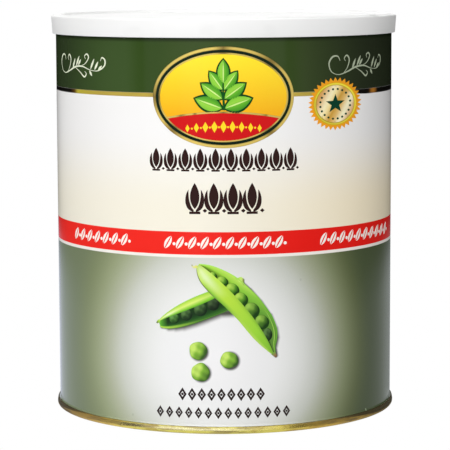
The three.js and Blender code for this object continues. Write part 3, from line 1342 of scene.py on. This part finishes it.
# Satin white plastic with a few faint finger dents in the skirt and a scuff on the ring.
# Its flaws are short strokes, with heights in mm and lengths round the wall.
DENTS = (
    ((18, 176.3), (21, 176.2)), ((19, 173.9), (22.5, 174.1)), ((-44, 174.4), (-38, 175.6)),
)
lid_plastic, m = new_material("lid_plastic")
_, axes = coordinates(m)
on_lid = (around(axes) * WALL_R, axes["Z"] / MM)
dents = near_stroke(on_lid, (-8, 175.6), (-5.5, 175.8), 0.5, 3.2)
for start, end in DENTS:
    dents = dents.most(near_stroke(on_lid, start, end, 0.5, 2.2))
mark = near_stroke(on_lid, (76.5, 181), (81, 181), 0.2, 1.1)
soft = mottle(m, 9.0, 1.0)
grain = mottle(m, 0.35, 1.0)
# The gate mark left by moulding is a small ring in the middle of the panel.
middle = length_of(axes["X"], axes["Y"]) / MM
gate = step(middle, 2.4, 2.0) - step(middle, 1.6, 1.2) * 0.5
# The dents are also painted a touch darker, as their shade.
white = mixed(dents * 0.03 + mark * 0.3, ink(239, 239, 238), ink(140, 140, 136))
surface(
    m,
    mixed(0.06, white, soft, "OVERLAY"),
    0.36 + grain * 0.08,
    bumped(m, soft * 0.2 - dents * 0.25 + grain * 0.04 + gate * 0.5, 0.25),
)

LID_SECTION = (
    (0, LID_UNDER, 0), (LID_INNER_R, LID_UNDER, 0.3), (LID_INNER_R, LID_FOOT, 0.3),
    (LID_FOOT_R, LID_FOOT, 0.3), (*LID_SHOULDER, 0.7), (*LID_LEDGE, 0.3),
    (RING_TOP[1], LID_TOP, 0.5), (RING_TOP[0], LID_TOP, 0.5), (*LID_PANEL, 0.5),
    (0, LID_PANEL[1], 0),
)
turned_piece("overcap_white", LID_SECTION, lid_plastic, "overcap")


# ---------------------------------------------------------------------------------------
# Camera. A long lens, a little above the lid, tipped down at the middle of the can.
# ---------------------------------------------------------------------------------------

CAMERA_BACK = 1010.7
CAMERA_HEIGHT = 204.8
CAMERA_DOWN = 0.1204
CAMERA_TURN = -0.00026
CAMERA_ROLL = -0.0038
CAMERA_LENS = 174.28

lens = bpy.data.cameras.new("camera")
lens.lens = CAMERA_LENS
lens.sensor_width = 36.0
lens.clip_start = 0.05
camera = added("camera", lens)
camera.location = (0, -CAMERA_BACK * MM, CAMERA_HEIGHT * MM)
aim = Matrix.Rotation(CAMERA_TURN, 3, "Z") @ Matrix.Rotation(pi / 2 - CAMERA_DOWN, 3, "X")
camera.rotation_euler = (aim @ Matrix.Rotation(CAMERA_ROLL, 3, "Z")).to_euler()
bpy.context.scene.camera = camera


# ---------------------------------------------------------------------------------------
# Studio. A white table that runs on as the backdrop, large soft lights all round, and
# white cards that only the shiny surfaces see.
# ---------------------------------------------------------------------------------------

FILL = 0.25
TABLE_HALF = 15.0
LIGHT_AWAY = 1.6
# Each soft light: degrees round from the front, degrees up, its size in metres, its watts.
LIGHTS = {
    "key": (-15, 12, 0.7, 13.5),
    "fill_left": (-75, 12, 0.7, 9.5),
    "fill_right": (42, 12, 0.7, 7.4),
    "overhead": (0, 89, 1.2, 11.5),
    "rear_left": (-155, 15, 0.7, 9.0),
    "rear_right": (155, 15, 0.7, 9.0),
}


def soft_light(name, turn, rise, size, watts):
    """A square light aimed at the middle of the can, which shiny surfaces don't mirror."""
    turn, rise = radians(turn), radians(rise)
    outwards = Vector((sin(turn) * cos(rise), -cos(turn) * cos(rise), sin(rise)))
    lamp = bpy.data.lights.new(name, "AREA")
    lamp.size = size
    lamp.energy = watts
    light = added(name, lamp)
    light.location = Vector((0, 0, CAN_TOP / 2 * MM)) + outwards * LIGHT_AWAY
    light.rotation_euler = (-outwards).to_track_quat("-Z", "Y").to_euler()
    light.visible_glossy = False


def flat_card(name, corners, strength, seen=False):
    """A white card of four corners in metres, glowing evenly. It lights nothing matt."""
    material, tree = new_material(name)
    shader = tree.tree.nodes["Principled BSDF"].inputs
    shader["Base Color"].default_value = (0, 0, 0, 1)
    shader["Specular IOR Level"].default_value = 0.0
    shader["Emission Color"].default_value = (1, 1, 1, 1)
    shader["Emission Strength"].default_value = strength
    mesh = bpy.data.meshes.new(name)
    mesh.from_pydata(corners, [], [(0, 1, 2, 3)])
    mesh.materials.append(material)
    card = added(name, mesh)
    card.visible_diffuse = False
    card.visible_shadow = False
    card.visible_camera = seen
    return card, tree


def uneven(tree, share, colour):
    """Lets a card's glow vary, from none where the share is 0 to the colour where it is 1."""
    glow = mixed(share, (0, 0, 0), colour)
    tree.tree.links.new(glow.out, tree.tree.nodes["Principled BSDF"].inputs["Emission Color"])


def lying(half, near, far, high=0.0):
    """The corners of a level card, as wide on each side of the can."""
    return [(-half, near, high), (half, near, high), (half, far, high), (-half, far, high)]


def standing(start, end, low, high):
    """The corners of an upright card."""
    return [(*start, low), (*end, low), (*end, high), (*start, high)]


for name, numbers in LIGHTS.items():
    soft_light(name, *numbers)

table, _ = flat_card("table", lying(TABLE_HALF, -TABLE_HALF, TABLE_HALF), 1.0, seen=True)
table.visible_glossy = False

# Each card: its corners, and how bright it is.
CARDS = {
    "beside_left": (standing((-1.3, -0.3), (-1.3, 0.9), 0.3, 1.2), 0.5),
    "beside_right": (standing((1.3, -0.3), (1.3, 0.9), 0.3, 1.2), 0.4),
    "in_front": (standing((-2.2, -1.6), (1.4, -1.6), 0.15, 1.5), 1.15),
    "behind": (standing((-0.5, 1.5), (0.5, 1.5), 0.2, 0.9), 1.45),
}
for name, (corners, strength) in CARDS.items():
    flat_card(name, corners, strength)

# The near table as the wall mirrors it: a cool white that fades out with distance, dimmer
# where the can stands, behind it and to its right.
SHEEN_HALF = 1.2
FOOT_DIM = 0.8
_, m = flat_card("table_sheen", lying(SHEEN_HALF, -SHEEN_HALF, SHEEN_HALF), 0.8)
spot, axes = coordinates(m)
away = m.node("ShaderNodeVectorMath", {0: spot}, "Value", operation="LENGTH")
near = step(away, 0.95, 0.4)
near = near * (1 - step(away, 0.088, 0.081) * step(axes["Y"] / away, -0.8, -0.3) * FOOT_DIM)
beyond = step((axes["X"] - WALL_R * MM) / (axes["Y"] + 0.015), 0.8, 0.1)
near = near * (1 - beyond * step(axes["X"], 0.0, 0.06) * step(axes["Y"], 0.0, 0.03) * 0.5)
cool = mixed(step(away, 0.5, 0.12), (0.95, 1.0, 1.25), (1.15, 1.2, 1.5))
uneven(m, near, mixed(step(axes["X"], 0.0, -0.08), (0.92, 0.97, 1.0), cool))

# The soft light overhead as the rolled rim and the lid's edges mirror it.
GLOW_HIGH = 1.3
_, m = flat_card("canopy", lying(2, -2, 1, GLOW_HIGH), 2.2)
spot, _ = coordinates(m)
ends = {0: spot, 1: (-0.2, -0.3, GLOW_HIGH)}
away = m.node("ShaderNodeVectorMath", ends, "Value", operation="DISTANCE")
uneven(m, step(away, 1.7, 0.1), (1.0, 1.0, 1.0))

bpy.context.scene.view_settings.view_transform = "Standard"
world = bpy.data.worlds.new("studio")
bpy.context.scene.world = world
world.use_nodes = True
world.node_tree.nodes["Background"].inputs["Color"].default_value = (1, 1, 1, 1)
world.node_tree.nodes["Background"].inputs["Strength"].default_value = FILL
world.cycles_visibility.glossy = False
